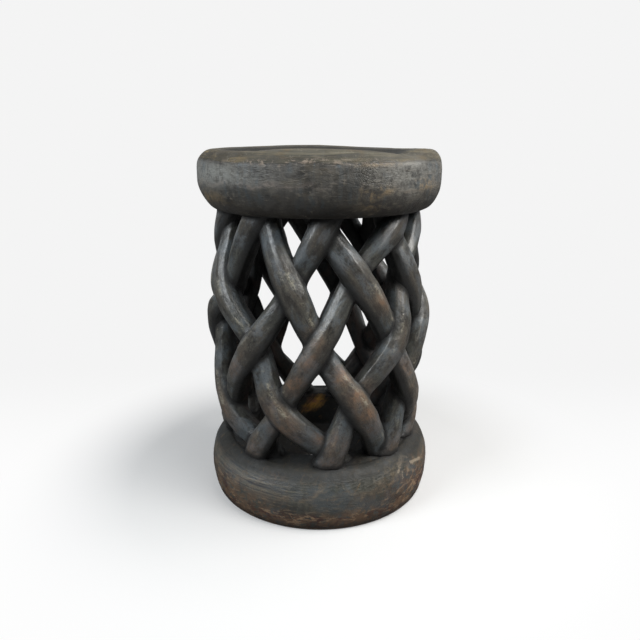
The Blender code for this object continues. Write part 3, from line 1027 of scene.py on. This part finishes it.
def ring_material():
    """Worn wood: olive grey on the shoulder, reddish brown near the foot, and raw wood in the bore's back lit
    as a painted pool of light; painted shade darkens the bore, the top under the bars, the foot and the
    creases, and the streaked band carries a painted reflection.
    """
    n = Nodes(bpy.data.materials.new("worn_ring_wood"))
    place = n.layer("grain", "Vector")
    upright, hoops = scraped(n, place)
    cloud = n.noise(place, 19, 4, 0.6, 0.8)
    patch = n.noise(n.scaled(place, (1, 1, 1.8)), 40, 5, 0.64, 0.5)
    smear = n.noise(n.scaled(place, (1, 1, 3)), 60, 5, 0.6, 1.2)
    mottle = n.noise(place, 200, 5, 0.68)
    slanted = n.turned(place, (0, 0.9, 0))
    colour = n.blend(n.span(upright, 0.30, 0.72), srgb(70, 71, 65), srgb(88, 88, 80))
    streaks = n.blend(n.span(hoops, 0.38, 0.62), srgb(82, 88, 95), srgb(148, 143, 130))
    chipped = n.times(n.layer("ridge"), n.span(n.plus(mottle, patch), 0.88, 1.18))
    blotch = n.noise(n.scaled(place, (1, 1, 1.5)), 75, 4, 0.6, 0.6)
    raw = n.times(n.layer("raw"), n.span(n.plus(mottle, blotch), 0.80, 1.04))
    earth = n.blend(n.span(patch, 0.42, 0.56), srgb(92, 60, 47), srgb(132, 103, 79))
    earth = n.blend(n.span(smear, 0.53, 0.60), earth, srgb(184, 150, 118))
    unrolled = n.bent(place, n.noise(place, 300, 3, 0.6), 0.0060)
    scars = 0.0
    for start, end, width in ring_scars:
        scars = n.math("MAXIMUM", scars, n.stroke(unrolled, start, end, width))
    grit = n.noise(n.scaled(slanted, (120, 120, 900)), 1, 4, 0.65)
    scars = n.times(scars, n.span(n.plus(grit, mottle), 0.72, 1.00))
    fleck = n.noise(n.scaled(slanted, (60, 60, 200)), 1, 6, 0.7, 0.6)
    # Raw wood in the bore's back, painted bright as a pool of light
    bare_wood_and_light = n.span(n.plus(n.layer("bare_wood_and_light"), n.times(fleck, 1.6)), 0.90, 1.90)
    raw_wood = n.blend(n.span(patch, 0.42, 0.58), srgb(232, 176, 88), srgb(196, 142, 100))
    coats = [
        (n.span(cloud, 0.46, 0.58, 0, 0.75), srgb(88, 95, 98)),
        (n.span(patch, 0.50, 0.68, 0, 0.60), srgb(98, 86, 72)),
        (n.span(smear, 0.55, 0.66, 0, 0.55), srgb(112, 108, 98)),
        (n.span(mottle, 0.40, 0.30, 0, 0.50), srgb(40, 39, 37)),
        # Streaked band: scraped streaks with a painted bluish reflection
        (n.layer("band"), streaks),
        (n.times(chipped, 0.50), srgb(140, 125, 106)),
        (n.times(n.layer("tan"), n.span(mottle, 0.42, 0.62)), srgb(138, 130, 110)),
        (n.times(raw, 0.85), earth),
        # Painted contact shadow at the foot
        (n.layer("low"), srgb(40, 31, 26)),
        (n.times(scars, 0.65), srgb(190, 174, 152)),
        # Painted shade in the bore and on the top under the bars
        (n.times(n.layer("inside"), 0.84), srgb(20, 19, 17)),
        # Raw wood patch, painted bright as lit
        (bare_wood_and_light, raw_wood),
        # Painted shade where the bars meet the ring
        (n.span(n.layer("crease"), 0.20, 1, 0, 0.90), srgb(9, 8, 8)),
    ]
    n.shader.inputs["Specular IOR Level"].default_value = 0.7
    rough = n.span(n.plus(upright, mottle), 0.75, 1.25, 0.34, 0.52)
    rough = n.plus(rough, n.times(raw, 0.20))
    rough = n.plus(rough, n.times(n.layer("inside"), 0.25), True)
    bumps = [(n.times(hoops, n.layer("band")), 0.0004), (upright, 0.0002), (smear, 0.0008), (mottle, 0.0004)]
    return n.finish(n.coated(colour, coats), rough, bumps)


def floor_material():
    """White floor that takes the stool's shadow near it, and runs out into the pale backdrop around."""
    n = Nodes(bpy.data.materials.new("studio_floor"))
    position = n.add("ShaderNodeNewGeometry").outputs["Position"]
    parts = n.add("ShaderNodeSeparateXYZ")
    n.feed(parts.inputs[0], position)
    tone = n.span(parts.outputs["Y"], -0.10, wall_starts_to, floor_tone, wall_tone)
    seen = n.add("ShaderNodeLightPath").outputs["Is Camera Ray"]
    bounce = n.times(tone, n.math("MAXIMUM", seen, floor_bounce))
    n.feed(n.shader.inputs["Base Color"], n.tinted(bounce, (floor_albedo, floor_albedo, floor_albedo)))
    n.shader.inputs["Roughness"].default_value = 0.9
    n.shader.inputs["Specular IOR Level"].default_value = 0.0
    from_middle = n.vectors("LENGTH", position)["Value"]
    past_shadow = n.span(from_middle, shadow_fades_from, shadow_fades_to)
    at_wall = n.span(parts.outputs["Y"], wall_starts_from, wall_starts_to)
    far = n.math("MAXIMUM", past_shadow, at_wall)
    far = n.math("MAXIMUM", far, floor_glow)
    glow = n.add("ShaderNodeEmission")
    n.feed(glow.inputs["Strength"], tone)
    mix = n.add("ShaderNodeMixShader")
    n.feed(mix.inputs[0], n.times(far, seen))
    n.feed(mix.inputs[1], n.shader.outputs[0])
    n.feed(mix.inputs[2], glow.outputs[0])
    n.feed(n.tree.nodes["Material Output"].inputs["Surface"], mix.outputs[0])
    return n.owner


def make_floor():
    half = floor_half_width
    corners = np.array([(-half, -half, 0), (half, -half, 0), (half, half, 0), (-half, half, 0)])
    floor = mesh_object("studio_floor", corners, [[0, 1, 2, 3]], {})
    floor.location.z = -floor_sink
    floor.data.materials.append(floor_material())


def make_world():
    """A plain backdrop for the camera; for the stool, a room bright above and behind and dim in front."""
    world = bpy.data.worlds.new("studio")
    bpy.context.scene.world = world
    n = Nodes(world)
    parts = n.add("ShaderNodeSeparateXYZ")
    n.feed(parts.inputs[0], n.add("ShaderNodeTexCoord").outputs["Generated"])
    above = n.span(parts.outputs["Z"], 0.0, 0.9, 0.02, room_light_above)
    behind = n.span(parts.outputs["Y"], -0.2, 0.9, 0.0, room_light_behind)
    behind = n.times(behind, n.span(parts.outputs["Z"], 0.12, 0.35, 1.0, 0.35))
    level = n.times(n.plus(above, behind), n.span(parts.outputs["Z"], -0.25, 0.05, 0.2, 1.0))
    seen = n.add("ShaderNodeLightPath").outputs["Is Camera Ray"]
    colour = n.blend(seen, n.tinted(level, room_tint), (wall_tone, wall_tone, wall_tone, 1.0))
    n.feed(n.tree.nodes["Background"].inputs["Color"], colour)


def area_light(name, place, target, size, power, colour):
    data = bpy.data.lights.new(name, "AREA")
    data.shape = "SQUARE"
    data.size = size
    data.energy = power
    data.color = colour
    lamp = bpy.data.objects.new(name, data)
    lamp.location = place
    lamp.rotation_euler = (Vector(target) - Vector(place)).to_track_quat("-Z", "Y").to_euler()
    bpy.context.scene.collection.objects.link(lamp)


def make_studio():
    make_floor()
    make_world()
    for lamp in lamps:
        area_light(*lamp)


def make_camera():
    data = bpy.data.cameras.new("camera")
    data.sensor_width = camera_sensor_width
    data.lens = camera_lens
    camera = bpy.data.objects.new("camera", data)
    camera.location = camera_place
    camera.rotation_euler = (radians(90 - camera_look_down), 0, 0)
    bpy.context.scene.collection.objects.link(camera)
    bpy.context.scene.camera = camera


def dress(item, finish, node):
    item.data.shade_smooth()
    item.data.materials.append(finish)
    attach(item, "root")
    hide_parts(node)


def build():
    bar_wood = bar_material()
    seat_wood = seat_material()
    ring_wood = ring_material()
    bars = {}
    for number in range(1, bars_per_hand + 1):
        for hand, word in ((left_hand, "left"), (right_hand, "right")):
            bars[hand, number] = make_bar(hand, number, f"strand_{word}_{number}_carved")
    seat = make_seat()
    ring = make_ring()
    carve_creases(bars, seat, ring)
    dress(seat, seat_wood, "seat")
    dress(ring, ring_wood, "base_ring")
    for (hand, number), bar in bars.items():
        word = "left" if hand == left_hand else "right"
        dress(bar, bar_wood, f"strand_{word}_{number}")


build()
make_studio()
make_camera()
bpy.context.scene.view_settings.view_transform = "Standard"
